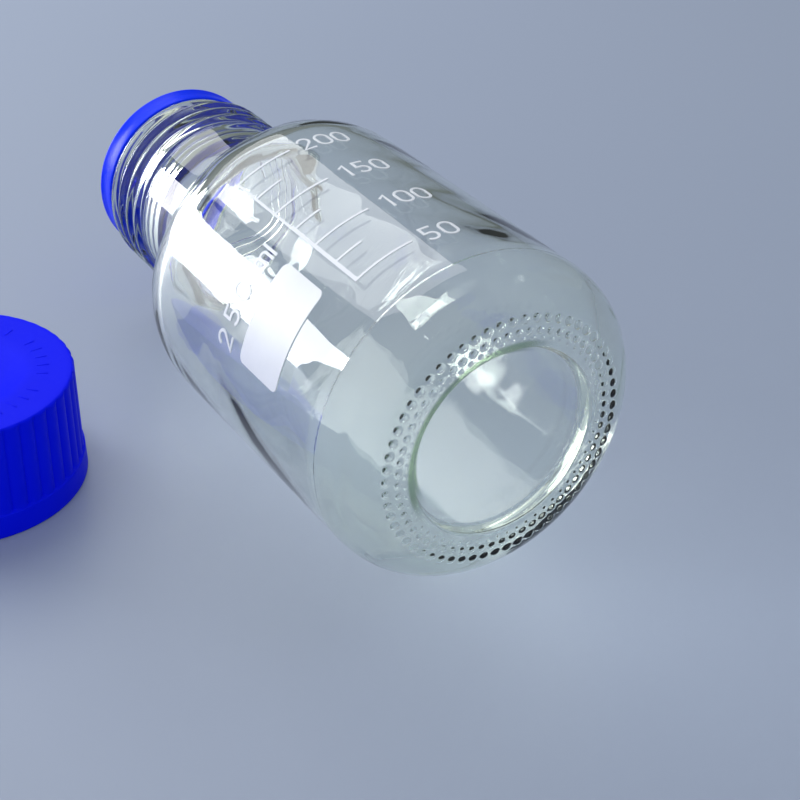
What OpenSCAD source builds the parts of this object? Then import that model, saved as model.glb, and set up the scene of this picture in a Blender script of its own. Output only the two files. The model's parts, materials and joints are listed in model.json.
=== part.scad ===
// Laboratory reagent bottle, 250 ml, lying on its side with its screw cap off.
//
// Frame: the origin is the centre of the base's resting land, +X is the base's
// outward normal, so the mouth points along -X, and +Z is up. The bottle lies
// on the bench, one body radius below the origin, and the cap stands beside
// the neck on the same bench. Every turned piece is drawn upright about its
// own axis, open end up, and is laid in place by on_bottle() or on_bench().

/* [Bottle] */
// Outside diameter of the body
body_d = 70; // [68:0.5:74]
// Height of the glass from the base to the rim
glass_h = 137; // [134:0.5:142]
// Height at which the straight wall turns into the shoulder
shoulder_z = 77; // [74:0.5:78]
// Outer radius of the shoulder's bend
shoulder_r = 15; // [14:0.5:16]
// How far the shoulder turns in before the neck's hollow
shoulder_turn = 64; // [60:1:66]
// Radius of the rounded heel
heel_r = 12; // [10:0.5:13]
// Thickness of the body's wall
wall = 2.85; // [2.5:0.05:3.2]
// Height of the cavity's floor
floor_z = 6.8; // [6:0.1:8]
// Depth of the hollow in the base
punt_h = 2.4; // [1.6:0.1:3]
// Radius of the flat disc in the hollow
punt_r = 18.4; // [17:0.1:19]
// Inner radius of the land that the bottle stands on
land_r = 21; // [20:0.1:22]

/* [Neck] */
// Radius of the neck below and between the thread's turns
neck_r = 20.75; // [20.5:0.05:21]
// Radius over the thread's crest
thread_r = 22.35; // [22.1:0.05:22.5]
// Pitch of the thread
pitch = 4; // [4:0.5:4]
// Turns of thread on the neck
neck_turns = 4; // [3:0.1:4.4]
// Radius of the mouth's bore
mouth_r = 15.25; // [15:0.05:16]
// Length of the mouth's straight bore
mouth_l = 14; // [10:0.5:16]
// Radius inside the neck, below the mouth
neck_bore_r = 17.2; // [16.8:0.1:17.6]
// Radius of the seat that the pouring ring sits on
seat_r = 19; // [18.8:0.05:19.2]
// Height of that seat
seat_h = 4.4; // [4:0.1:5]

/* [Pouring ring] */
// Outside radius of the pouring ring
ring_r = 21.3; // [21:0.1:21.5]
// Height of the pouring ring
ring_h = 5.7; // [5:0.1:6]
// Thickness of the ring over the glass rim
ring_lip = 1.5; // [1:0.1:2]

/* [Cap] */
// Height of the cap
cap_h = 25.7; // [25:0.1:27]
// Radius of the smooth band at the open end
band_r = 27.1; // [26.8:0.1:27.5]
// Height of the smooth band
band_h = 5.5; // [4:0.1:6]
// Radius over the ribs, just above the band
rib_r = 26.5; // [26.3:0.1:26.6]
// Radius over the ribs, at the top
cap_top_r = 25.9; // [25.5:0.1:26.2]
// Number of ribs round the cap
ribs = 44; // [36:1:52]
// Thickness of the cap's top
cap_top = 2.2; // [1.8:0.1:2.6]
// Turns of thread in the cap
cap_turns = 2.4; // [2:0.1:2.6]
// Thickness of the seal disc
seal_t = 2; // [1.5:0.1:2.5]

/* [Print] */
// Distance between two long graduation lines, 50 ml
line_step = 15.4; // [15:0.1:16]
// Height of the 50 ml line
first_line = 23.4; // [22:0.1:25]
// Thickness of the fired enamel
enamel = 0.12; // [0.08:0.01:0.2]
// Width of a printed line
line_w = 0.55; // [0.4:0.05:0.7]
// Height of the graduation numerals
digit_h = 5.2; // [4.5:0.1:5.6]
// Height of the capacity mark
mark_h = 5.6; // [5:0.1:6]
// Width of the writing panel, round the bottle
panel_w = 22.2; // [20:0.1:24]
// Height of the writing panel, along the bottle
panel_h = 14.3; // [12:0.1:16]

/* [Bench] */
// Where the cap's axis stands, along the bottle
cap_x = -91; // [-110:0.1:-88]
// Where the cap's axis stands, to the side
cap_y = -77.4; // [-90:0.1:-70]

/* [Hidden] */
$fn = 96;
body_r = body_d / 2;
cavity_r = body_r - wall;
// inner radius of the heel's bend in the cavity
inner_heel_r = 10;
// radii of the hollow bends between shoulder and neck, outside and inside
hollow_r = 9;
inner_hollow_r = 12;
ring_clearance = 0.05;
rim_round = 1;
// height over which the neck's bore narrows to the mouth
mouth_taper = 2;
// how far a cutting shape runs past what it cuts
past = 1;
ring_top_z = glass_h + ring_lip;
// height of the first turn of the neck thread
thread_z = 114.2;
cap_bore_r = 22.65;
cap_thread_r = 21.65;
cap_thread_z = 6.2;
skirt_r = 25.4;
band_step = 0.35;
// rounded foot and chamfered top edge of the smooth band, rounded edge of the cap's top
band_foot = 0.4;
band_edge = 0.3;
cap_edge = 1;
// how much wider the bore is below the thread, and how far below the band's top it narrows
lead = 1.9;
lead_drop = 2;
// share of the pitch between ribs that the radius of a rib takes
rib_share = 0.31;
// rounded edges of the pouring ring
ring_edge = 0.6;
seal_r = 22.3;
seal_gap = 0.05;
// thread ridges: half widths at crest and root, how deep they are rooted
crest_half = 0.55;
root_half = 1.5;
rooted = 0.6;
// how far below the wall's surface the ends of a ridge sink
sunk = 0.15;
steps_per_turn = 36;
fade_turns = 0.09;
// print: angles are counted round the bottle from +Y, upwards
spine_angle = 123.3;
long_sweep = 21.5;
short_sweep = 10.8;
numeral_gap = 4.2;
// places of the letters after "250", in figure widths
letters = [3.3, 4.15];
// a drawing is pushed through the wall from this far inside it to as far outside
through = 3;
panel_angle = 150.6;
mark_angle = 168.6;
panel_z = 27.3;
mark_z = 45.2;
panel_corner = 1.5;
degrees_per_mm = 180 / (PI * body_r);
// how far a sharp corner of a printed line reaches, in half widths
sharpest = 1.4;

// ---- placing ----

// An upright piece is laid down with its open end along -X
module on_bottle() { rotate([0, -90, 0]) children(); }

// An upright piece stands on the bench with its open end down
module on_bench() { translate([cap_x, cap_y, -body_r]) children(); }

// ---- outlines, as [radius, height] ----

// Points of an arc about c, from angle a to angle b
function arc(c, r, a, b, n = 12) =
    [for (i = [0:n]) c + r * [cos(a + (b - a) * i / n), sin(a + (b - a) * i / n)]];

// Shoulder and neck: a bend of radius r about the shoulder's centre, a short
// slope, and a hollow bend of radius hollow that ends on the neck radius end_r
function shoulder(r, hollow, end_r) =
    let (
        c = [body_r - shoulder_r, shoulder_z],
        t = shoulder_turn,
        p = c + r * [cos(t), sin(t)],
        run = hollow * (1 - cos(t)),
        slope = (p[0] - end_r - run) / sin(t),
        q = p + slope * [-sin(t), cos(t)],
        h = [end_r + hollow, q[1] + hollow * sin(t)]
    )
    concat(arc(c, r, 0, t), arc(h, hollow, 180 + t, 180));

glass_outline = concat(
    [[0, punt_h], [punt_r, punt_h]],
    [[land_r, 0]],
    arc([body_r - heel_r, heel_r], heel_r, -90, 0),
    shoulder(shoulder_r, hollow_r, neck_r),
    [[neck_r, glass_h - seat_h], [seat_r, glass_h - seat_h]],
    arc([seat_r - rim_round, glass_h - rim_round], rim_round, 0, 90, 4),
    [[0, glass_h]]
);

cavity_outline = concat(
    [[0, floor_z]],
    arc([cavity_r - inner_heel_r, floor_z + inner_heel_r], inner_heel_r, -90, 0),
    shoulder(shoulder_r - wall, inner_hollow_r, neck_bore_r),
    [[neck_bore_r, glass_h - mouth_l - mouth_taper], [mouth_r, glass_h - mouth_l]],
    [[mouth_r, glass_h + past], [0, glass_h + past]]
);

// ---- thread ----

// One section of a thread ridge at turn t. It is rooted inside the wall at
// radius root, and its crest sinks into the wall at both ends of the thread.
function ridge(t, turns, root, crest) =
    let (
        side = crest > root ? 1 : -1,
        k = min(1, t / fade_turns, (turns - t) / fade_turns),
        foot = root - side * rooted,
        tip = root - side * sunk + k * (crest - root + side * sunk),
        z = t * pitch
    )
    [for (p = [[foot, -root_half], [tip, -crest_half], [tip, crest_half], [foot, root_half]])
        [p[0] * cos(360 * t), p[0] * sin(360 * t), p[1] + z]];

// A right-hand thread ridge. Its sections run from the root outwards or inwards.
module thread(turns, root, crest) {
    n = ceil(turns * steps_per_turn);
    m = 4;
    pts = [for (i = [0:n]) each ridge(turns * i / n, turns, root, crest)];
    sides = [for (i = [0:n - 1], j = [0:m - 1])
        let (a = i * m + j, b = i * m + (j + 1) % m)
            each [[a, a + m, b + m], [a, b + m, b]]];
    faces = concat(sides, [[for (j = [0:m - 1]) j]], [[for (j = [m - 1:-1:0]) n * m + j]]);
    polyhedron(pts, crest < root ? faces : [for (f = faces) [for (k = [len(f) - 1:-1:0]) f[k]]]);
}

// ---- bottle, ring, cap, seal ----

module glass_bottle() {
    color([0.86, 0.93, 0.9, 0.4]) on_bottle() union() {
        rotate_extrude() difference() {
            polygon(glass_outline);
            polygon(cavity_outline);
        }
        translate([0, 0, thread_z]) thread(neck_turns, neck_r, thread_r);
    }
}

module pouring_ring() {
    inner = seat_r + ring_clearance;
    edge = ring_edge;
    color([0.05, 0.12, 0.85]) on_bottle() rotate_extrude() polygon(concat(
        [[inner, ring_top_z - ring_h], [ring_r - edge, ring_top_z - ring_h]],
        arc([ring_r - edge, ring_top_z - ring_h + edge], edge, -90, 0, 4),
        arc([ring_r - edge, ring_top_z - edge], edge, 0, 90, 4),
        [[mouth_r + edge, ring_top_z]],
        arc([mouth_r + edge, ring_top_z - edge], edge, 90, 180, 4),
        [[mouth_r, glass_h + ring_clearance]],
        arc([seat_r - rim_round, glass_h - rim_round], rim_round + ring_clearance, 90, 0, 4)
    ));
}

// Outline over the ribs: round ribs side by side on a plain wall
module ribbed() {
    rib = 2 * PI * rib_r / ribs * rib_share;
    circle(r = skirt_r);
    for (i = [0:ribs - 1]) rotate(360 / ribs * i) translate([rib_r - rib, 0]) circle(r = rib, $fn = 24);
}

module screw_cap() {
    color([0.03, 0.1, 0.8]) on_bench() union() {
        difference() {
            union() {
                intersection() {
                    linear_extrude(cap_h) ribbed();
                    rotate_extrude() polygon(concat(
                        [[0, 0], [rib_r, 0], [rib_r, band_h]],
                        arc([cap_top_r - cap_edge, cap_h - cap_edge], cap_edge, 0, 90, 6),
                        [[0, cap_h]]
                    ));
                }
                rotate_extrude() polygon([[0, 0], [band_r - band_foot, 0], [band_r, band_foot],
                    [band_r - band_step, band_h - band_edge],
                    [band_r - band_step - band_edge, band_h], [0, band_h]]);
            }
            rotate_extrude() polygon([[0, -past], [cap_bore_r + lead, -past],
                [cap_bore_r + lead, band_h - lead_drop], [cap_bore_r, band_h],
                [cap_bore_r, cap_h - cap_top], [0, cap_h - cap_top]]);
        }
        translate([0, 0, cap_thread_z]) thread(cap_turns, cap_bore_r, cap_thread_r);
    }
}

module cap_seal() {
    color([0.93, 0.93, 0.9]) on_bench()
        translate([0, 0, cap_h - cap_top - seal_t - seal_gap]) cylinder(r = seal_r, h = seal_t);
}

// ---- fired print ----

// Keeps only the enamel's thickness of what is pushed out through the wall
module fired() {
    difference() {
        intersection() {
            children();
            cylinder(r = body_r + enamel, h = shoulder_z);
        }
        cylinder(r = body_r, h = shoulder_z);
    }
}

// Places a flat drawing at an angle round the bottle, its x running onwards in
// reading direction and its y towards the mouth
module at(angle, z) {
    rotate([0, 0, angle]) translate([body_r - through, 0, z])
        rotate([90, 0, 90]) linear_extrude(2 * through) children();
}

// A band round the bottle from one angle onwards, at height z
module band(angle, sweep, z, w) {
    rotate([0, 0, angle]) rotate_extrude(angle = sweep)
        translate([body_r, z - w / 2]) square([enamel, w]);
}

// The angle round the bottle, in the upright drawing, of an angle counted from +Y
function upright(a) = 90 - a;

module graduation_scale() {
    color("white") on_bottle() {
        for (i = [0:3]) band(upright(spine_angle), long_sweep, first_line + i * line_step, line_w);
        for (i = [0:2])
            band(upright(spine_angle), short_sweep, first_line + (i + 0.5) * line_step, line_w);
        fired() at(upright(spine_angle), 0) {
            translate([-line_w / 2, first_line - line_w / 2]) square([line_w, 3 * line_step + line_w]);
            translate([-line_w / 2, first_line - line_w / 2]) square([line_w * 1.5, 1.6 * line_step]);
        }
    }
}

// One side of a line of width w that follows a path, w / 2 to the left or right
function side(path, w) =
    let (n = len(path) - 1)
    [for (i = [0:n])
        let (
            a = path[min(i, n - 1) + 1] - path[min(i, n - 1)],
            b = path[max(i, 1)] - path[max(i, 1) - 1],
            na = [-a[1], a[0]] / norm(a),
            nb = [-b[1], b[0]] / norm(b),
            m = (na + nb) / norm(na + nb)
        )
        path[i] + m * w / 2 * min(sharpest, 1 / (m * na))];

// A printed line of width w along a path
module stroke(path, w) {
    left = side(path, w);
    right = side(path, -w);
    polygon(concat(left, [for (i = [len(right) - 1:-1:0]) right[i]]));
}

// Figures and letters, as lines in a box h high
module zero(h, w) {
    r = 0.33 * h - w / 2;
    top = h - w - r;
    difference() {
        polygon(concat(arc([r, r], r + w / 2, 180, 360), arc([r, top], r + w / 2, 0, 180)));
        polygon(concat(arc([r, r], r - w / 2, 180, 360), arc([r, top], r - w / 2, 0, 180)));
    }
}
module one(h, w) {
    x = 0.4 * h;
    stroke([[x - 0.24 * h, h - w - 0.17 * h], [x, h - w], [x, -w / 2]], w);
}
module two(h, w) {
    r = 0.3 * h - w / 2;
    stroke(concat(arc([r, h - w - r], r, 175, -35), [[0, 0], [2 * r + 0.03 * h, 0]]), w);
}
module five(h, w) {
    r = 0.3 * h - w / 2;
    x = 0.06 * h;
    bowl = arc([r, r], r, 100, -150);
    stroke(concat([[2 * r, h - w], [x, h - w], [x, bowl[0][1]]], bowl), w);
}
module letter_m(h, w) {
    x = 0.62 * h;
    r = x / 4;
    stroke(concat([[0, -w / 2]], arc([r, x - r], r, 180, 0), [[2 * r, -w / 2]]), w);
    stroke(concat(arc([3 * r, x - r], r, 180, 0), [[4 * r, -w / 2]]), w);
}
module letter_l(h, w) { stroke([[0, -w / 2], [0, h - w]], w); }

module glyph(c, h, w) {
    if (c == "0") zero(h, w);
    if (c == "1") one(h, w);
    if (c == "2") two(h, w);
    if (c == "5") five(h, w);
    if (c == "m") letter_m(h, w);
    if (c == "l") letter_l(h, w);
}

// A word read round the bottle: each figure stands at its own angle
module word(s, angle, z, h, w, advance) {
    on_bottle() fired() for (i = [0:len(s) - 1])
        if (s[i] != " ") at(upright(angle) + i * advance * degrees_per_mm, z + w / 2) glyph(s[i], h, w);
}

module numeral(s, i) {
    start = spine_angle - long_sweep - numeral_gap;
    color("white") word(s, start, first_line + i * line_step - digit_h / 2, digit_h, line_w, 0.78 * digit_h);
}

module capacity_mark() {
    w = line_w * 1.15;
    gap = 0.94 * mark_h;
    color("white") {
        word("250", mark_angle, mark_z, mark_h, w, gap);
        word("m", mark_angle - letters[0] * gap * degrees_per_mm, mark_z, mark_h, w, gap);
        word("l", mark_angle - letters[1] * gap * degrees_per_mm, mark_z, mark_h, w, gap);
    }
}

module writing_panel() {
    // straight across the bottle, half the panel is this wide
    half_w = body_r * sin(panel_w / 2 * degrees_per_mm);
    c = panel_corner;
    color("white") on_bottle() fired() at(upright(panel_angle), panel_z) {
        translate([-half_w, c]) square([2 * half_w, panel_h - 2 * c]);
        translate([-half_w + c, 0]) square([2 * (half_w - c), panel_h]);
        for (x = [-half_w + c, half_w - c], y = [c, panel_h - c]) translate([x, y]) circle(r = c);
    }
}

glass_bottle();
pouring_ring();
screw_cap();
cap_seal();
graduation_scale();
numeral("50", 0);  // numeral_50
numeral("100", 1);  // numeral_100
numeral("150", 2);  // numeral_150
numeral("200", 3);  // numeral_200
capacity_mark();
writing_panel();
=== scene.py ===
import json
from math import atan2, ceil, cos, hypot, pi, radians, sin, tau

import bpy
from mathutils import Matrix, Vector

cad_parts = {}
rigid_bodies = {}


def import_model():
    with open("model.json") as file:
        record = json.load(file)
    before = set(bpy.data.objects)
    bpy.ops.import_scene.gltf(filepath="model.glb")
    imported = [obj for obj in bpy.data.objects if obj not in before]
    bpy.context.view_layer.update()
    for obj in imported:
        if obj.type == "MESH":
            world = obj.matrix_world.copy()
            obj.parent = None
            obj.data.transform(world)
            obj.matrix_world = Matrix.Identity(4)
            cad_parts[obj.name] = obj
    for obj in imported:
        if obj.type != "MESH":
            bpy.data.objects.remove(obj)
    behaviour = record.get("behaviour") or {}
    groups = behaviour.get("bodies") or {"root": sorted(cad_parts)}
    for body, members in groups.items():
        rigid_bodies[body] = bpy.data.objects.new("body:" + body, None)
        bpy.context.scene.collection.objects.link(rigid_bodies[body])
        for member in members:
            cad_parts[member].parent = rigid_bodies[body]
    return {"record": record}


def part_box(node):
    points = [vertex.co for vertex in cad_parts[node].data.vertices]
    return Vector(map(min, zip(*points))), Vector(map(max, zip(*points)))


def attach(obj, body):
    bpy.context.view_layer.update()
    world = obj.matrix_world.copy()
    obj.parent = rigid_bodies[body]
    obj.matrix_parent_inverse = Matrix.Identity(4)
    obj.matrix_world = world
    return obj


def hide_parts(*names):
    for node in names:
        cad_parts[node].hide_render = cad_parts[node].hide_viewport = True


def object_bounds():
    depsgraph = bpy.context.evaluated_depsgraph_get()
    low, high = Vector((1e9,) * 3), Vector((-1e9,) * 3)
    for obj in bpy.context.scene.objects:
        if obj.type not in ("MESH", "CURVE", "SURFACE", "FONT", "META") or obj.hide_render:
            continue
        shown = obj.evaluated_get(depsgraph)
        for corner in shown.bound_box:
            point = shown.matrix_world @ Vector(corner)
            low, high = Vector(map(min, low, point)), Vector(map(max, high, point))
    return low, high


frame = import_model()
cadBox = [list(corner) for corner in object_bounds()]
mm = 0.001
samePoint = 1e-4      # in mm
weldDistance = 2e-6   # in metres
onWall = 0.05         # how near, in mm, counts as on a turned wall

print("places from the frame")
glassLow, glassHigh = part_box("glass_bottle")
capLow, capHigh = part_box("screw_cap")
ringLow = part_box("pouring_ring")[0]
benchZ = cadBox[0][2]
bodyRadius = (glassHigh[1] - glassLow[1]) / 2 / mm
glassHeight = (glassHigh[0] - glassLow[0]) / mm
capX, capY = (capLow[0] + capHigh[0]) / 2, (capLow[1] + capHigh[1]) / 2
capHeight = (capHigh[2] - capLow[2]) / mm
ringTop = -ringLow[0] / mm


# One output of a node, so that shader maths reads as plain sums
class Wire:
    def __init__(self, tree, socket):
        self.tree, self.socket = tree, socket

    def maths(self, operation, first, second=0.0):
        return addNode(self.tree, "ShaderNodeMath", {"operation": operation}, {0: first, 1: second})

    def __add__(self, other): return self.maths("ADD", self, other)
    def __radd__(self, other): return self.maths("ADD", other, self)
    def __sub__(self, other): return self.maths("SUBTRACT", self, other)
    def __rsub__(self, other): return self.maths("SUBTRACT", other, self)
    def __mul__(self, other): return self.maths("MULTIPLY", self, other)
    def __rmul__(self, other): return self.maths("MULTIPLY", other, self)


# Adds a node, its settings first (stops is a ramp's list), then the values or wires of its sockets
def addNode(tree, kind, settings=None, values=None, out=0):
    node = tree.nodes.new(kind)
    for key, value in (settings or {}).items():
        if key == "stops":
            ramp = node.color_ramp
            while len(ramp.elements) < len(value):
                ramp.elements.new(0.5)
            for element, (place, tone) in zip(ramp.elements, value):
                element.position, element.color = place, (*tone, 1)
        else:
            setattr(node, key, value)
    for key, value in (values or {}).items():
        if isinstance(value, Wire):
            tree.links.new(value.socket, node.inputs[key])
        else:
            node.inputs[key].default_value = value
    return Wire(tree, node.outputs[out])


# A Principled material with its uniform values set, and short ways to add nodes to it
class Finish:
    def __init__(self, name, **uniform):
        self.material = bpy.data.materials.new(name)
        self.material.use_nodes = True
        self.tree = self.material.node_tree
        self.shader = self.tree.nodes["Principled BSDF"]
        for key, value in uniform.items():
            self.shader.inputs[key.replace("_", " ")].default_value = value
        self.place = self.node("ShaderNodeTexCoord", out="Object")

    def node(self, kind, settings=None, values=None, out=0):
        return addNode(self.tree, kind, settings, values, out)

    def noise(self, scale, detail=3.0, rough=0.55, place=None):
        return self.node("ShaderNodeTexNoise", None,
                         {"Vector": place or self.place, "Scale": scale, "Detail": detail, "Roughness": rough})

    def blend(self, factor, first, second):
        return self.node("ShaderNodeMix", {"data_type": "RGBA"},
                         {0: factor, 6: (*first, 1), 7: (*second, 1)}, out=2)

    # runs from 0 at start to 1 at end
    def ramp(self, value, start, end):
        return self.node("ShaderNodeMapRange", {"interpolation_type": "SMOOTHSTEP"},
                         {"Value": value, "From Min": start, "From Max": end})

    def bump(self, height, strength, distance):
        return self.node("ShaderNodeBump", None,
                         {"Height": height, "Strength": strength, "Distance": distance})

    def feed(self, **wires):
        for key, wire in wires.items():
            self.tree.links.new(wire.socket, self.shader.inputs[key.replace("_", " ")])


glassFinish = dict(
    ior=1.5, clearDeep=(0.96, 0.985, 0.97), clearLight=(0.995, 1.0, 0.998),
    smearScale=38, smearDetail=4, smearRoughness=0.012,
    waveScale=55, waveDetail=1.5, waveStrength=0.25, waveDepth=0.0006,
    baseFrom=-0.0045, baseTo=-0.0030,                  # along the axis, in metres
    discFrom=0.0196, discTo=0.0180, discRoughness=0.06,
    # the next two lines set a painted green half ring on the push-up's edge, on the side the facing vector picks:
    # painted light for the green seen through the thick glass, which its own faint tint doesn't give
    paintedGreenInner=(0.0180, 0.0186), paintedGreenOuter=(0.0222, 0.0212),
    paintedGreenFacing=(0, -0.75, 0.66), paintedGreenFade=(0.004, 0.012),
    paintedEdgeGreen=(0.06, 0.18, 0.03, 1), paintedGreenLeast=0.75,
    bodyTint=(0.54, 0.84, 0.22, 1), bodyDensity=10.0,
)


# Clear glass with a faint smear, a duller disc in the base and a painted green half ring round it: painted light,
# standing in for the green that light shows after a long way through the thick edge, on the upper half only
def makeGlass(g):
    glass = Finish("clearGlass", Transmission_Weight=1.0, IOR=g["ior"])
    smear = glass.noise(g["smearScale"], g["smearDetail"])
    waves = glass.noise(g["waveScale"], g["waveDetail"])
    along = glass.node("ShaderNodeSeparateXYZ", None, {0: glass.place}, out="X")
    across = glass.node("ShaderNodeVectorMath", {"operation": "MULTIPLY"}, {0: glass.place, 1: (0, 1, 1)})
    radius = glass.node("ShaderNodeVectorMath", {"operation": "LENGTH"}, {0: across}, out="Value")
    paintedHalfFacing = glass.node("ShaderNodeVectorMath", {"operation": "DOT_PRODUCT"},
                           {0: glass.place, 1: g["paintedGreenFacing"]}, out="Value")
    base = glass.ramp(along, g["baseFrom"], g["baseTo"])
    disc = base * glass.ramp(radius, g["discFrom"], g["discTo"])
    # mask of the painted green: the push-up's edge, on one half only, where light through the thick glass is
    # painted green
    edge = base * glass.ramp(radius, *g["paintedGreenInner"]) * glass.ramp(radius, *g["paintedGreenOuter"]) \
        * glass.ramp(paintedHalfFacing, *g["paintedGreenFade"])
    clear = glass.blend(smear, g["clearDeep"], g["clearLight"])
    glassWithPaintedGreen = glass.node("ShaderNodeMix", {"data_type": "RGBA"},
                        {0: edge * (g["paintedGreenLeast"] + (1 - g["paintedGreenLeast"]) * smear),
                         6: clear, 7: g["paintedEdgeGreen"]}, out=2)
    glass.feed(Base_Color=glassWithPaintedGreen,
               Roughness=smear * g["smearRoughness"] + disc * (g["discRoughness"] + g["discRoughness"] * waves),
               Normal=glass.bump(waves, g["waveStrength"], g["waveDepth"]))
    body = glass.node("ShaderNodeVolumeAbsorption", None, {"Color": g["bodyTint"], "Density": g["bodyDensity"]})
    glass.tree.links.new(body.socket, glass.tree.nodes["Material Output"].inputs["Volume"])
    return glass.material


# What both blue plastics share
plasticSkin = dict(ior=1.5, cloudScale=45, cloudDetail=4, grainDetail=2,
                   uneven=0.12, grainStrength=0.12, grainDepth=0.0002)


# Moulded plastic: a cloudy colour under a fine grain
def makePlastic(name, deep, light, roughness, grainScale, shine):
    p = plasticSkin
    plastic = Finish(name, IOR=p["ior"], Specular_IOR_Level=shine)
    cloud = plastic.noise(p["cloudScale"], p["cloudDetail"])
    grain = plastic.noise(grainScale, p["grainDetail"])
    plastic.feed(Base_Color=plastic.blend(cloud, deep, light),
                 Roughness=roughness + p["uneven"] * grain,
                 Normal=plastic.bump(grain, p["grainStrength"], p["grainDepth"]))
    return plastic.material


enamelFinish = dict(ior=1.5, deep=(0.70, 0.73, 0.79), light=(0.80, 0.83, 0.89), patchScale=160, patchDetail=3,
                    speckScale=2600, speckDetail=2, roughness=0.3, uneven=0.25, grainStrength=0.2,
                    grainDepth=0.00005)


def makeEnamel(f):
    enamel = Finish("firedEnamel", IOR=f["ior"])
    speck = enamel.noise(f["speckScale"], f["speckDetail"])
    patch = enamel.noise(f["patchScale"], f["patchDetail"])
    enamel.feed(Base_Color=enamel.blend(patch, f["deep"], f["light"]),
                Roughness=f["roughness"] + f["uneven"] * speck,
                Normal=enamel.bump(speck, f["grainStrength"], f["grainDepth"]))
    return enamel.material


sealFinish = dict(ior=1.45, deep=(0.70, 0.69, 0.64), light=(0.86, 0.85, 0.80), grainScale=900, grainDetail=3,
                  roughness=0.5, uneven=0.2, grainStrength=0.3, grainDepth=0.0001)


def makeSeal(f):
    seal = Finish("sealRubber", IOR=f["ior"])
    grain = seal.noise(f["grainScale"], f["grainDetail"])
    seal.feed(Base_Color=seal.blend(grain, f["deep"], f["light"]),
              Roughness=f["roughness"] + f["uneven"] * grain,
              Normal=seal.bump(grain, f["grainStrength"], f["grainDepth"]))
    return seal.material


benchFinish = dict(shine=0.35, deep=(0.292, 0.340, 0.444), light=(0.308, 0.358, 0.466), cloudScale=2.2,
                   cloudDetail=2, roughness=0.36, uneven=0.1)


def makeBench(f):
    bench = Finish("paleBench", Specular_IOR_Level=f["shine"])
    cloud = bench.noise(f["cloudScale"], f["cloudDetail"])
    bench.feed(Base_Color=bench.blend(cloud, f["deep"], f["light"]),
               Roughness=f["roughness"] + f["uneven"] * cloud)
    return bench.material


def dress(piece, material):
    piece.data.materials.clear()
    piece.data.materials.append(material)


def arcPoints(centre, radius, first, last, count):
    angles = [radians(first + (last - first) * i / count) for i in range(count + 1)]
    return [(centre[0] + radius * cos(a), centre[1] + radius * sin(a)) for a in angles]


def linePoints(start, end, count):
    return [(start[0] + (end[0] - start[0]) * i / count, start[1] + (end[1] - start[1]) * i / count)
            for i in range(count + 1)]


# Joins runs of points and drops a point that repeats the one before
def chain(*runs):
    points = []
    for run in runs:
        last = points[-1] if points else None
        points += [p for p in run if last is None or hypot(p[0] - last[0], p[1] - last[1]) > samePoint]
    return points


# An outline of (radius, height) in mm is drawn by extruding one corner along it, and spun about its axis
def turnOutline(name, outline, toPlace, centre, axis, segments):
    places = [Vector(toPlace(radius, height)) for radius, height in outline]
    bpy.ops.object.select_all(action="DESELECT")
    bpy.ops.mesh.primitive_plane_add(size=mm, location=(0, 0, 0))
    piece = bpy.context.object
    piece.name = piece.data.name = name
    bpy.ops.object.mode_set(mode="EDIT")
    bpy.ops.mesh.select_mode(type="VERT")
    bpy.ops.mesh.select_all(action="SELECT")
    bpy.ops.mesh.merge(type="CENTER")
    bpy.ops.transform.translate(value=places[0])
    for here, there in zip(places, places[1:]):
        bpy.ops.mesh.extrude_region_move(TRANSFORM_OT_translate={"value": there - here})
    bpy.ops.mesh.select_all(action="SELECT")
    bpy.ops.mesh.spin(steps=segments, angle=tau, center=centre, axis=axis)
    bpy.ops.mesh.select_all(action="SELECT")
    bpy.ops.mesh.remove_doubles(threshold=weldDistance)
    bpy.ops.mesh.normals_make_consistent(inside=False)
    bpy.ops.object.mode_set(mode="OBJECT")
    return piece


def turnOnBottle(name, outline, segments):
    return turnOutline(name, outline, lambda r, h: (-h * mm, 0, r * mm), (0, 0, 0), (1, 0, 0), segments)


def turnOnBench(name, outline, segments):
    return turnOutline(name, outline, lambda r, h: (capX + r * mm, capY, benchZ + h * mm),
                       (capX, capY, 0), (0, 0, 1), segments)


# Moves each corner outwards by lift(radius, height, angle), in mm
def liftOnBottle(piece, lift):
    for corner in piece.data.vertices:
        x, y, z = corner.co / mm
        radius = hypot(y, z)
        if radius > 0.01:
            k = 1 + lift(radius, -x, atan2(y, z)) / radius
            corner.co = Vector((x, y * k, z * k)) * mm


def liftOnBench(piece, lift):
    for corner in piece.data.vertices:
        x, y = (corner.co.x - capX) / mm, (corner.co.y - capY) / mm
        radius = hypot(x, y)
        if radius > 0.01:
            k = 1 + lift(radius, (corner.co.z - benchZ) / mm, atan2(y, x)) / radius
            corner.co.x, corner.co.y = capX + x * k * mm, capY + y * k * mm


# How far the right-hand thread of a piece stands up at a height and angle, from 0 to 1
def threadRidge(height, angle, s):
    best = 0.0
    turns = s["threadTurns"]
    for lap in range(-1, ceil(turns) + 1):
        t = angle / tau + lap
        if 0 < t < turns:
            off = abs(height - s["threadStart"] - t * s["threadPitch"]) / s["threadHalfWidth"]
            if off < 1:
                ends = min(1, t / s["threadFade"], (turns - t) / s["threadFade"])
                best = max(best, ends * (0.5 + 0.5 * cos(pi * off)))
    return best


def shadeSmooth(piece, angle):
    bpy.ops.object.select_all(action="DESELECT")
    piece.select_set(True)
    bpy.context.view_layer.objects.active = piece
    bpy.ops.object.shade_smooth_by_angle(angle=radians(angle))


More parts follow.
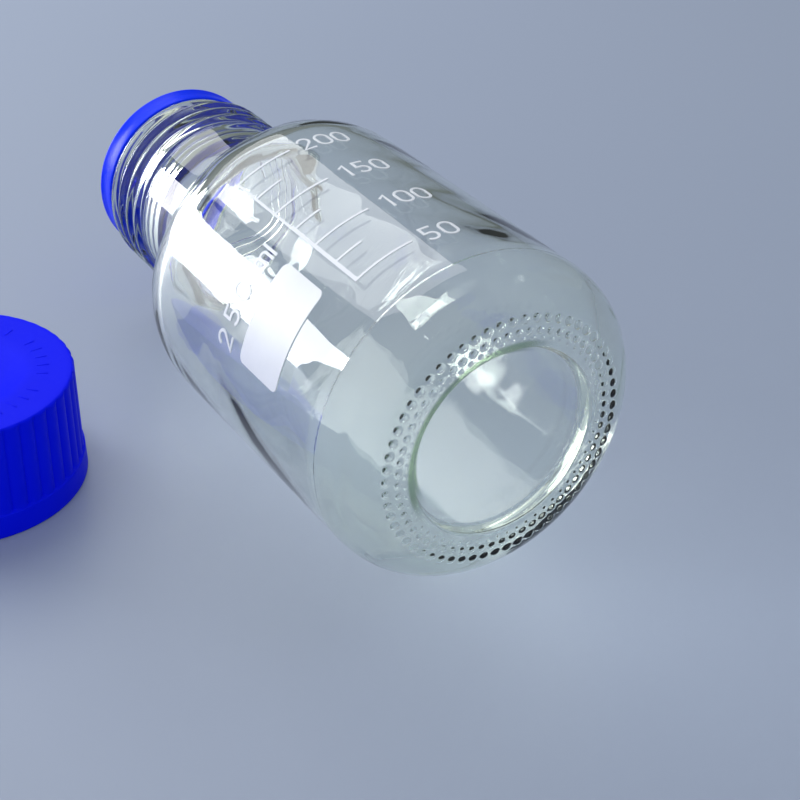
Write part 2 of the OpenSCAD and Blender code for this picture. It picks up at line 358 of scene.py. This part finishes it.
glass = dict(
    segments=300, skin=0.02, wall=2.85, floor=6.8, landHeight=0.42,
    puntDepth=2.75, puntRadius=19.6, puntSag=0.5, discRadius=17.4, discRise=0.15, puntBend=0.8,
    landRadius=21.0, landFrom=0.25, landFlat=0.1, heelRadius=12.0, bumpedHeel=-66, innerHeel=10.0,
    innerHeelTurn=-78, floorFlat=2.5, floorRise=0.05, floorSag=0.5,
    shoulderHeight=77.0, shoulderRadius=15.0, shoulderTurn=64, hollow=9.0, innerHollow=12.0,
    neckRadius=20.75, neckBore=17.2, neckEdge=0.3, mouthRadius=15.25, mouthLength=14.0, mouthRound=0.8,
    mouthFlare=0.3, flareFrom=0.5, flareTo=2.4,
    seatRadius=19.0, seatHeight=4.4, rimRound=1.0,
    threadRadius=22.35, threadStart=114.2, threadPitch=4.0, threadTurns=4.0,
    threadHalfWidth=2.0, threadFade=0.12, threadLead=3, smoothAngle=50,
    # radius, count, phase, size and rise of each ring of stipple bumps
    bumpRings=((26.15, 60, 0.0, 0.95, 0.50), (23.75, 60, 0.5, 0.82, 0.42), (22.2, 60, 0.0, 0.48, 0.24)),
    bumpPower=0.8, bumpTop=1.7, bumpGap=0.4, finerTop=1.6, finerBand=(21.7, 27.2),
    # each wave of the uneven inside: strength, how often round, how it leans along, start
    unevenness=0.14, unevenFrom=5, unevenTo=110, unevenCore=10, unevenSkin=1.5,
    waves=((1.0, 3, 0.09, 0.0), (0.7, 7, -0.17, 1.3), (0.35, 13, 0.31, 0.0)),
    rows=dict(disc=8, bend=7, land=8, heel=16, wall=14, shoulder=14, slope=3, neck=50, edge=3, seat=3, rim=5,
              lip=4, mouth=10, flare=4, innerShoulder=12, cavity=16, innerHeel=12, floor=8),
)


# Shoulder bend, slope and hollow bend down to the neck
def shoulderRun(g, radius, hollow, endRadius, rows):
    centre = (bodyRadius - g["shoulderRadius"], g["shoulderHeight"])
    turn = g["shoulderTurn"]
    t = radians(turn)
    corner = (centre[0] + radius * cos(t), centre[1] + radius * sin(t))
    slope = (corner[0] - endRadius - hollow * (1 - cos(t))) / sin(t)
    foot = (corner[0] - slope * sin(t), corner[1] + slope * cos(t))
    bend = (endRadius + hollow, foot[1] + hollow * sin(t))
    return chain(arcPoints(centre, radius, 0, turn, rows), linePoints(corner, foot, g["rows"]["slope"]),
                 arcPoints(bend, hollow, 180 + turn, 180, rows))


def bottleOutline(g):
    side = bodyRadius - g["skin"]
    land = g["landHeight"]
    heel = g["heelRadius"] - land
    heelCentre = (side - heel, g["heelRadius"])
    rim, seatZ = g["rimRound"], glassHeight - g["seatHeight"]
    punt, bend, rows = g["puntDepth"], g["puntBend"], g["rows"]
    neck, neckEdge, seat = g["neckRadius"], g["neckEdge"], g["seatRadius"]
    outside = chain(
        linePoints((0, punt - g["puntSag"]), (g["discRadius"], punt - g["discRise"]), rows["disc"]),
        arcPoints((g["puntRadius"] - bend, punt - bend), bend, 95, 8, rows["bend"]),
        arcPoints((g["landRadius"] - g["landFrom"], land + bend), bend, 188, 270, rows["bend"]),
        linePoints((g["landRadius"] + g["landFlat"], land), (heelCentre[0], land), rows["land"]),
        arcPoints(heelCentre, heel, -90, g["bumpedHeel"], rows["heel"]),
        arcPoints(heelCentre, heel, g["bumpedHeel"], 0, rows["heel"]),
        linePoints((side, heel), (side, g["shoulderHeight"]), rows["wall"]),
        shoulderRun(g, g["shoulderRadius"] - g["skin"], g["hollow"], neck, rows["shoulder"]),
        linePoints((neck, g["threadStart"] - g["threadLead"]), (neck, seatZ - neckEdge), rows["neck"]),
        arcPoints((neck - neckEdge, seatZ - neckEdge), neckEdge, 0, 90, rows["edge"]),
        [(seat, seatZ)],
        linePoints((seat, seatZ + 0.2), (seat, glassHeight - rim), rows["seat"]),
        arcPoints((seat - rim, glassHeight - rim), rim, 0, 90, rows["rim"]),
    )
    mouth, lip, mouthZ = g["mouthRadius"], g["mouthRound"], glassHeight - g["mouthLength"]
    innerShoulder = shoulderRun(g, g["shoulderRadius"] - g["wall"], g["innerHollow"], g["neckBore"],
                                rows["innerShoulder"])
    inside = chain(
        arcPoints((mouth + lip, glassHeight - lip), lip, 90, 180, rows["lip"]),
        linePoints((mouth, glassHeight - 1), (mouth, mouthZ), rows["mouth"]),
        linePoints((mouth + g["mouthFlare"], mouthZ - g["flareFrom"]), (g["neckBore"], mouthZ - g["flareTo"]),
                   rows["flare"]),
        list(reversed(innerShoulder)),
    )
    cavity = bodyRadius - g["wall"]
    inner = g["innerHeel"]
    floor = chain(
        linePoints((cavity, g["shoulderHeight"]), (cavity, g["floor"] + inner), rows["cavity"]),
        arcPoints((cavity - inner, g["floor"] + inner), inner, 0, g["innerHeelTurn"], rows["innerHeel"]),
        linePoints((cavity - inner - g["floorFlat"], g["floor"] + g["floorRise"]),
                   (0, g["floor"] - g["floorSag"]), rows["floor"]),
    )
    return chain(outside, inside, floor)


def buildGlass(g):
    bottle = turnOnBottle("bottleGlass", bottleOutline(g), g["segments"])
    bpy.ops.object.mode_set(mode="EDIT")
    bpy.ops.mesh.select_mode(type="FACE")
    bpy.ops.mesh.select_all(action="DESELECT")
    bpy.ops.object.mode_set(mode="OBJECT")
    for face in bottle.data.polygons:
        x, y, z = face.center / mm
        face.select = x > -g["finerTop"] and g["finerBand"][0] < hypot(y, z) < g["finerBand"][1]
    bpy.ops.object.mode_set(mode="EDIT")
    bpy.ops.mesh.subdivide(number_cuts=1)
    bpy.ops.object.mode_set(mode="OBJECT")
    centre = (bodyRadius - g["skin"] - g["heelRadius"] + g["landHeight"], g["heelRadius"])
    for corner in bottle.data.vertices:
        x, y, z = corner.co / mm
        radius, angle = hypot(y, z), atan2(y, z)
        height = -x
        if height < g["bumpTop"] and radius > g["landRadius"] + g["bumpGap"]:
            rise = 0.0
            for ringRadius, count, phase, size, tall in g["bumpRings"]:
                step = tau / count
                side = ((angle / step + phase + 0.5) % 1 - 0.5) * step * ringRadius
                off = hypot(side, radius - ringRadius) / size
                if off < 1:
                    rise = max(rise, tall * (1 - off * off) ** g["bumpPower"])
            # a bump stands out along the heel's own normal, and never past the resting plane
            out = Vector((radius - centre[0], height - centre[1])) if radius > centre[0] else Vector((0, -1))
            out.normalize()
            radius, height = radius + rise * out.x, max(height + rise * out.y, 0.0)
        elif g["unevenCore"] < radius < bodyRadius - g["unevenSkin"] \
                and g["unevenFrom"] < height < g["unevenTo"]:
            radius += g["unevenness"] * sum(strength * sin(often * angle + lean * height + start)
                                            for strength, often, lean, start in g["waves"])
        corner.co = Vector((-height, radius * sin(angle), radius * cos(angle))) * mm
    crest = g["threadRadius"] - g["neckRadius"]
    liftOnBottle(bottle, lambda radius, height, angle: 0 if abs(radius - g["neckRadius"]) > onWall else
                 crest * threadRidge(height, angle, g))
    shadeSmooth(bottle, g["smoothAngle"])
    return bottle


print("glass bottle")
bottleGlass = buildGlass(glass)
dress(bottleGlass, makeGlass(glassFinish))
bottleGlass.visible_shadow = False   # clear glass lets the soft light through to the bench
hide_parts("glass_bottle")
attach(bottleGlass, "bottle")


ring = dict(
    segments=256, inner=19.05, outer=21.3, height=5.7, lip=1.5, bore=15.25, edge=0.55, groove=0.35,
    footFlat=0.9, grooveFrom=1.2, grooveTo=2.4, grooveFoot=0.3, topRound=0.75, dishFrom=1.4, dishSlope=2.2,
    dishFloor=2.8, dishEdge=0.9, dishDrop=(0.02, 0.32, 0.34, 0.22), boreTop=0.8, clearance=0.03,
    innerRound=1.0, innerFrom=1.4, smoothAngle=40,
    finish=dict(deep=(0.0, 0.022, 0.86), light=(0.0, 0.034, 0.94), roughness=0.24, grainScale=600, shine=0.08),
    rows=dict(flat=3, edge=5, topRound=9, boreEdge=6, bore=2, innerRound=4, skirt=5),
)


def ringOutline(r):
    top, foot, rows = ringTop, ringTop - r["height"], r["rows"]
    edge, outer, inner, bore = r["edge"], r["outer"], r["inner"], r["bore"]
    under = top - r["lip"] + r["clearance"]
    bend, corner, drop = r["topRound"], r["innerRound"], r["dishDrop"]
    return chain(
        linePoints((inner, foot), (outer - r["footFlat"], foot), rows["flat"]),
        arcPoints((outer - r["footFlat"], foot + edge), edge, -90, 0, rows["edge"]),
        linePoints((outer - r["grooveFoot"], foot + r["grooveFrom"]),
                   (outer - r["groove"], top - r["grooveTo"]), rows["flat"]),
        arcPoints((outer - bend, top - bend), bend, -20, 90, rows["topRound"]),
        linePoints((outer - r["dishFrom"], top - drop[0]),
                   (outer - r["dishSlope"], top - drop[1]), rows["flat"]),
        linePoints((outer - r["dishFloor"], top - drop[2]),
                   (bore + r["dishEdge"], top - drop[3]), rows["flat"]),
        arcPoints((bore + edge, top - edge), edge, 80, 180, rows["boreEdge"]),
        linePoints((bore, top - r["boreTop"]), (bore, under + 0.2), rows["bore"]),
        linePoints((bore + 0.2, under), (inner - corner, under), rows["flat"]),
        arcPoints((inner - corner, under - corner), corner, 90, 0, rows["innerRound"]),
        linePoints((inner, under - r["innerFrom"]), (inner, foot), rows["skirt"]),
    )


print("pouring ring")
pouringRing = turnOnBottle("pouringRing", ringOutline(ring), ring["segments"])
shadeSmooth(pouringRing, ring["smoothAngle"])
dress(pouringRing, makePlastic("ringBlue", **ring["finish"]))
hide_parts("pouring_ring")
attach(pouringRing, "ring")


cap = dict(
    ribs=44, perRib=12, bandRadius=27.1, bandHeight=5.5, ribRadius=26.5, topRadius=25.9, grooveDepth=0.6,
    ribRound=0.7, ribFade=0.9, ribCore=24.2, topThickness=2.2, boreRadius=22.65, lead=1.9, edge=0.8,
    dishRadius=14.0, dishRise=0.12, dishEdge=0.3, topFlat=1.6, sideFrom=1.3, sideFoot=0.25,
    bandEdge=0.45, bandRound=0.3, bandTaper=0.23, bandStep=(0.55, 0.35), bandFrom=0.7, bandTo=0.6, footFlat=1.0,
    # below the band's top: where the lead-in stops, how much of it is left at the next corner, and the bore
    leadRise=0.3, leadEnd=2, leadCorner=(0.6, 1.2), boreFrom=(1.0, 0.6), roofRound=0.4, smoothAngle=35,
    threadRadius=21.65, threadStart=6.2, threadPitch=4.0, threadTurns=2.4, threadHalfWidth=1.6, threadFade=0.12,
    marks=36, gapEvery=6, markRadius=19.2, markLength=2.6, markWidth=0.42, markRise=0.16,
    markSink=0.06, markBody=0.75, markBevel=0.04, markBevelSegments=2,
    finish=dict(deep=(0.0, 0.004, 0.84), light=(0.0, 0.008, 0.92), roughness=0.36, grainScale=900, shine=0.05),
    rows=dict(flat=3, edge=6, ribs=14, bandRound=3, band=4, foot=2, bore=46, roof=5),
)


def capOutline(c):
    top = capHeight - c["markRise"]
    band, bore, rows = c["bandRadius"], c["boreRadius"], c["rows"]
    roof, height, lead = capHeight - c["topThickness"], c["bandHeight"], c["lead"]
    return chain(
        linePoints((0, top - c["dishRise"]), (c["dishRadius"], top - c["dishRise"]), rows["flat"]),
        linePoints((c["dishRadius"] + c["dishEdge"], top), (c["topRadius"] - c["topFlat"], top), rows["flat"]),
        arcPoints((c["topRadius"] - c["edge"], top - c["edge"]), c["edge"], 90, 8, rows["edge"]),
        linePoints((c["topRadius"], top - c["sideFrom"]), (c["ribRadius"], height + c["sideFoot"]),
                   rows["ribs"]),
        arcPoints((band - c["bandStep"][0], height - c["bandStep"][1]), c["bandRound"], 90, 10, rows["bandRound"]),
        linePoints((band - c["bandTaper"], height - c["bandFrom"]), (band, c["bandTo"]), rows["band"]),
        arcPoints((band - c["bandEdge"], c["bandEdge"]), c["bandEdge"], 0, -90, rows["band"]),
        linePoints((band - c["footFlat"], 0), (bore + lead, 0), rows["foot"]),
        linePoints((bore + lead, c["leadRise"]), (bore + lead, height - c["leadEnd"]), rows["flat"]),
        linePoints((bore + lead * c["leadCorner"][0], height - c["leadCorner"][1]),
                   (bore, height - c["boreFrom"][0]), rows["foot"]),
        linePoints((bore, height - c["boreFrom"][1]), (bore, roof - c["roofRound"]), rows["bore"]),
        linePoints((bore - c["roofRound"], roof), (0, roof), rows["roof"]),
    )


# Grooves between the ribs outside, the thread inside
def capLift(c, radius, height, angle):
    top = capHeight - c["markRise"]
    if radius > c["ribCore"] and c["bandHeight"] + 0.1 < height < top - 0.05:
        hump = abs(cos(c["ribs"] * angle / 2)) ** c["ribRound"]
        fadeTop = min(1, (top - height) / c["ribFade"])
        return -c["grooveDepth"] * (1 - hump) * fadeTop
    if abs(radius - c["boreRadius"]) < onWall:
        return -(c["boreRadius"] - c["threadRadius"]) * threadRidge(height, angle, c)
    return 0


# Short raised bars round the top, every sixth left out: copies of one bevelled bar, each with its own mesh
def capMarks(c):
    bpy.ops.object.select_all(action="DESELECT")
    bpy.ops.mesh.primitive_cube_add(size=1, location=(0, 0, 0))
    firstBar = bpy.context.object
    firstBar.name = "capMark"
    firstBar.scale = (c["markLength"] * mm, c["markWidth"] * mm, c["markRise"] * c["markBody"] * mm)
    bpy.ops.object.transform_apply(location=False, rotation=False, scale=True)
    bpy.ops.object.mode_set(mode="EDIT")
    bpy.ops.mesh.select_all(action="SELECT")
    bpy.ops.mesh.bevel(offset=c["markBevel"] * mm, segments=c["markBevelSegments"], affect="EDGES")
    bpy.ops.object.mode_set(mode="OBJECT")
    angles = [tau * i / c["marks"] for i in range(c["marks"]) if (i + 1) % c["gapEvery"]]
    bars = [firstBar]
    for _ in angles[1:]:
        bar = firstBar.copy()
        bar.data = firstBar.data.copy()
        bpy.context.collection.objects.link(bar)
        bars.append(bar)
    top = benchZ + (capHeight - c["markRise"] / 2 - c["markSink"]) * mm
    for bar, angle in zip(bars, angles):
        for corner in bar.data.vertices:
            x, y = corner.co.x + c["markRadius"] * mm, corner.co.y
            corner.co = (capX + x * cos(angle) - y * sin(angle), capY + x * sin(angle) + y * cos(angle),
                         top + corner.co.z)
    return bars


print("screw cap")
screwCap = turnOnBench("screwCap", capOutline(cap), cap["ribs"] * cap["perRib"])
liftOnBench(screwCap, lambda radius, height, angle: capLift(cap, radius, height, angle))
bars = capMarks(cap)
bpy.ops.object.select_all(action="DESELECT")
for bar in bars:
    bar.select_set(True)
screwCap.select_set(True)
bpy.context.view_layer.objects.active = screwCap
bpy.ops.object.join()
shadeSmooth(screwCap, cap["smoothAngle"])
dress(screwCap, makePlastic("capBlue", **cap["finish"]))
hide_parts("screw_cap")
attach(screwCap, "cap")


print("liner and print")
dress(bpy.data.objects["cap_seal"], makeSeal(sealFinish))
firedEnamel = makeEnamel(enamelFinish)
for part in frame["record"]["subparts"]:
    if part["material_slot"] == "white_enamel":
        dress(bpy.data.objects[part["node"]], firedEnamel)


studio = dict(
    benchSize=4.0, skyDark=(0.13, 0.155, 0.15), skyBright=(0.88, 0.91, 0.97), skyStrength=0.85,
    skyFront=(0.76, -0.52, 0.38), lightBounces=24,
    window=dict(place=(-0.93, -0.48, 0.155), aim=(-0.04, -0.03, 0.10), size=(0.61, 0.38), power=8.6),
    roof=dict(place=(-0.75, -0.05, 0.85), aim=(-0.05, 0, 0), size=(0.9, 0.9), power=6.0),
)


def softLight(name, place, aim, size, power):
    bpy.ops.object.light_add(type="AREA", location=place)
    light = bpy.context.object
    light.name = name
    light.data.shape = "RECTANGLE"
    light.data.size, light.data.size_y = size
    light.data.energy = power
    light.rotation_euler = (Vector(aim) - Vector(place)).to_track_quat("-Z", "Y").to_euler()


print("bench, light and camera")
bpy.ops.object.select_all(action="DESELECT")
bpy.ops.mesh.primitive_plane_add(size=studio["benchSize"], location=(0, 0, benchZ))
bench = bpy.context.object
bench.name = "bench"
dress(bench, makeBench(benchFinish))

world = bpy.data.worlds.new("studio")
bpy.context.scene.world = world
world.use_nodes = True
sky = world.node_tree
facing = addNode(sky, "ShaderNodeVectorMath", {"operation": "DOT_PRODUCT"},
                 {0: addNode(sky, "ShaderNodeTexCoord", out="Generated"), 1: studio["skyFront"]}, out="Value")
tone = addNode(sky, "ShaderNodeValToRGB", {"stops": [(0.0, studio["skyDark"]), (1.0, studio["skyBright"])]},
               {0: facing * 0.5 + 0.5})
sky.links.new(tone.socket, sky.nodes["Background"].inputs["Color"])
sky.nodes["Background"].inputs["Strength"].default_value = studio["skyStrength"]
softLight("window", **studio["window"])
softLight("roof", **studio["roof"])
bpy.context.scene.view_settings.view_transform = "Standard"
cycles = bpy.context.scene.cycles
cycles.max_bounces = cycles.transmission_bounces = studio["lightBounces"]   # many walls of glass

view = dict(target=(-0.060, -0.010, -0.010), azimuth=60.15, elevation=31.6, distance=0.361,
            lens=75.6, shift=(0.124, -0.052), clipStart=0.01)
az, el = radians(view["azimuth"]), radians(view["elevation"])
sight = Vector((sin(az) * cos(el), -cos(az) * cos(el), sin(el)))
bpy.ops.object.camera_add(location=Vector(view["target"]) + view["distance"] * sight)
camera = bpy.context.object
camera.rotation_euler = (-sight).to_track_quat("-Z", "Y").to_euler()
camera.data.lens = view["lens"]
camera.data.shift_x, camera.data.shift_y = view["shift"]
camera.data.clip_start = view["clipStart"]
bpy.context.scene.camera = camera
